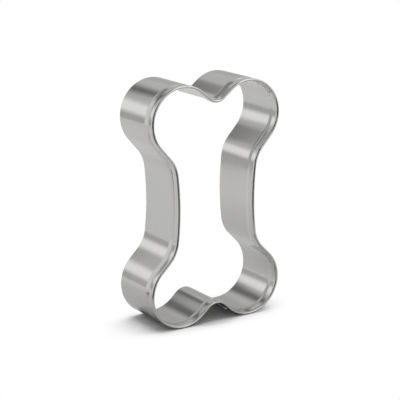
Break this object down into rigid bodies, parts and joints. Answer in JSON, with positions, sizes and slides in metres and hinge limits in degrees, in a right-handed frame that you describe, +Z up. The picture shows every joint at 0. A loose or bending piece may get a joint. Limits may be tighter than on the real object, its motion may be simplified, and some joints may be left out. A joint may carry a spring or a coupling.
{
  "type": "cookie cutter",
  "caption": "Bone-shaped strip-steel cookie cutter with a folded blunt rim, a thin cutting edge and a lapped, spot-welded seam.",
  "frame": {"origin": "on the ground, in the middle between the two lobes that the bone stands on, half way along the cutter's depth", "axes": "+X across the bone's width, +Y along the cutter's depth from the folded rim to the cutting edge, +Z up along the bone's length"},
  "size_m": [0.0552, 0.0228, 0.0891],
  "materials": {
    "stainless_strip": "bright rolled stainless strip, satin with a fine grain along the strip",
    "weld_steel": "fused steel inside the lap, not seen from outside"
  },
  "bodies": {
    "root": {"cutter_band": "stainless_strip", "spot_weld_by_rim": "weld_steel", "spot_weld_by_edge": "weld_steel"}
  },
  "joints": []
}
